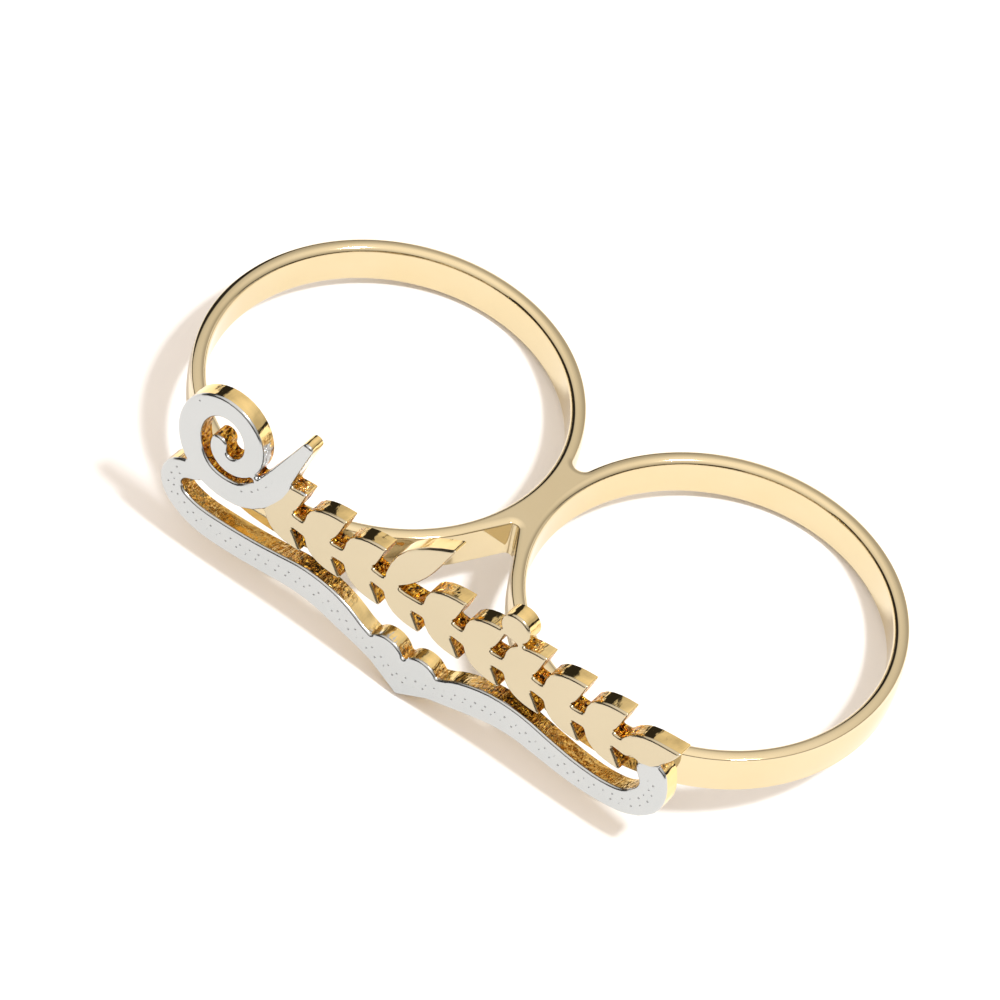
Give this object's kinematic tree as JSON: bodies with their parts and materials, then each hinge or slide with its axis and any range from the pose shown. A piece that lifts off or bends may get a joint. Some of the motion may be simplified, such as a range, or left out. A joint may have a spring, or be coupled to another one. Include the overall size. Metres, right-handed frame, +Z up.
{
  "type": "two finger ring",
  "caption": "Double finger ring: equal bands joined by a short web, with a pierced flat front plate of leaves, a curled frond and a pointed ribbon border.",
  "frame": {"origin": "floor level, under the middle of the box of the ring as it lies", "axes": "+X along the plate, from the frond to the last leaf; +Y from the plate to the backs of the bands; +Z up, close to the way the fingers go through"},
  "size_m": [0.0378, 0.0204, 0.0116],
  "materials": {
    "gold": "polished gold plating"
  },
  "bodies": {
    "root": {"two_finger_ring": "gold"}
  },
  "joints": []
}
